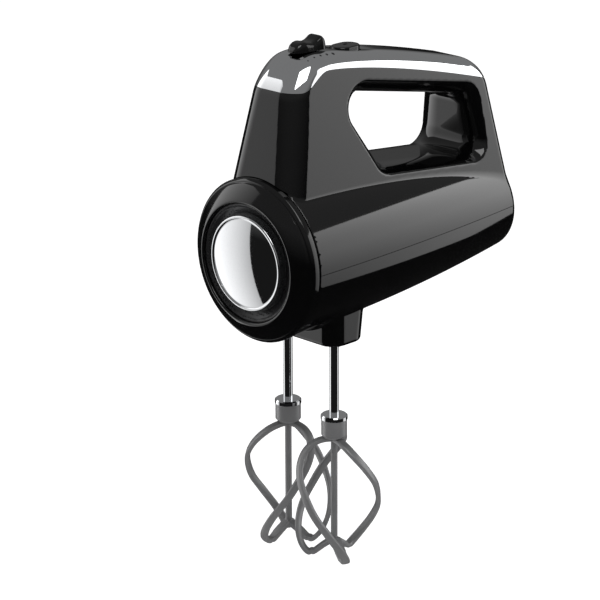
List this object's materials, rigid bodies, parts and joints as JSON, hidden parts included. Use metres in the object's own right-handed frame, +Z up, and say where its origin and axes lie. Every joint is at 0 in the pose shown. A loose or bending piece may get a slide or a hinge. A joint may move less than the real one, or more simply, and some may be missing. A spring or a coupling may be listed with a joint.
{
  "type": "hand mixer",
  "caption": "Black electric hand mixer with a hollow arched handle, chrome top trim, round front disc and two removable wire-blade beaters.",
  "frame": {"origin": "middle of the hand grip, in the bar of the handle above the finger opening", "axes": "+X towards the rear (the heel end), +Y towards the far side, +Z up along the beaters' shafts towards the handle"},
  "size_m": [0.1872, 0.088, 0.2871],
  "materials": {
    "black_housing": "glossy black moulded shell",
    "black_trim": "glossy black front ring, lever and button",
    "black_matte": "dull black with a fine dimple pattern",
    "black_rubber": "dull black soft pads and bush",
    "bright_chrome": "mirror-bright plating",
    "satin_metal": "satin mid-grey coated metal",
    "machined_steel": "turned steel",
    "cast_frame": "die-cast alloy",
    "laminated_iron": "stacked dark laminations",
    "copper_wire": "lacquered copper windings",
    "bronze": "sintered bronze bearings",
    "commutator_copper": "copper bars",
    "carbon": "carbon brush",
    "brass_clip": "pressed brass",
    "zinc_screw": "zinc-plated fasteners",
    "spring_steel": "spring wire",
    "nylon": "natural nylon",
    "green_board": "green circuit board",
    "switch_body": "cream switch moulding",
    "dark_switch": "dark switch moulding"
  },
  "bodies": {
    "housing": {"upper_housing": "black_housing", "lower_housing": "black_housing", "top_trim": "bright_chrome", "front_ring": "black_trim", "front_recess": "black_matte", "front_disc": "bright_chrome", "cord_inlet": "black_rubber", "heel_pad": "black_rubber", "gearbox_frame": "cast_frame", "rear_bracket": "cast_frame", "front_bearing": "bronze", "rear_bearing": "bronze", "motor_stator": "laminated_iron", "field_coils": "copper_wire", "brush_holders": "brass_clip", "carbon_brushes": "carbon", "brush_springs": "spring_steel", "motor_bolts": "zinc_screw", "frame_screws": "zinc_screw", "housing_screws": "zinc_screw", "spindle_bushes": "bronze", "speed_switch": "switch_body", "turbo_switch": "dark_switch", "speed_board": "green_board", "turbo_spring": "spring_steel", "ejector_spring": "spring_steel"},
    "armature": {"motor_shaft": "machined_steel", "armature_core": "laminated_iron", "armature_winding": "copper_wire", "commutator": "commutator_copper", "cooling_fan": "nylon", "worm": "machined_steel"},
    "near_drive": {"near_spindle": "machined_steel", "near_worm_wheel": "nylon"},
    "far_drive": {"far_spindle": "machined_steel", "far_worm_wheel": "nylon"},
    "near_beater": {"near_beater_shaft": "bright_chrome", "near_beater_cap": "bright_chrome", "near_beater_hub": "satin_metal", "near_beater_cage": "satin_metal"},
    "far_beater": {"far_beater_shaft": "bright_chrome", "far_beater_cap": "bright_chrome", "far_beater_hub": "satin_metal", "far_beater_cage": "satin_metal"},
    "lever": {"speed_lever": "black_trim", "speed_slider": "dark_switch"},
    "turbo": {"turbo_button": "black_trim"},
    "ejector": {"ejector_fork": "machined_steel"}
  },
  "joints": [
    {"name": "armature_spin", "type": "hinge", "parent": "housing", "child": "armature", "pos_m": [-0.0044, 0, -0.0836], "axis": [1, 0, 0], "continuous": true},
    {"name": "near_spindle_spin", "type": "hinge", "parent": "housing", "child": "near_drive", "pos_m": [-0.0644, -0.0175, -0.0836], "axis": [0, 0, 1], "continuous": true},
    {"name": "far_spindle_spin", "type": "hinge", "parent": "housing", "child": "far_drive", "pos_m": [-0.0644, 0.0175, -0.0836], "axis": [0, 0, 1], "continuous": true},
    {"name": "near_beater_pull", "type": "slide", "parent": "near_drive", "child": "near_beater", "axis": [0, 0, -1], "range_m": [0, 0.019]},
    {"name": "far_beater_pull", "type": "slide", "parent": "far_drive", "child": "far_beater", "axis": [0, 0, -1], "range_m": [0, 0.019]},
    {"name": "speed_lever_slide", "type": "slide", "parent": "housing", "child": "lever", "axis": [-1, 0, 0], "range_m": [0, 0.008]},
    {"name": "turbo_press", "type": "slide", "parent": "housing", "child": "turbo", "axis": [0, 0, -1], "range_m": [0, 0.002], "stiffness_N_per_m": 350, "springref_m": -0.001, "deforming": ["turbo_spring"]},
    {"name": "ejector_press", "type": "slide", "parent": "housing", "child": "ejector", "axis": [0, 0, -1], "range_m": [0, 0.004], "stiffness_N_per_m": 500, "springref_m": -0.002, "deforming": ["ejector_spring"]}
  ],
  "couplings": [
    {"joint": "near_spindle_spin", "follows": "armature_spin", "ratio": 0.038462},
    {"joint": "far_spindle_spin", "follows": "armature_spin", "ratio": -0.038462}
  ]
}
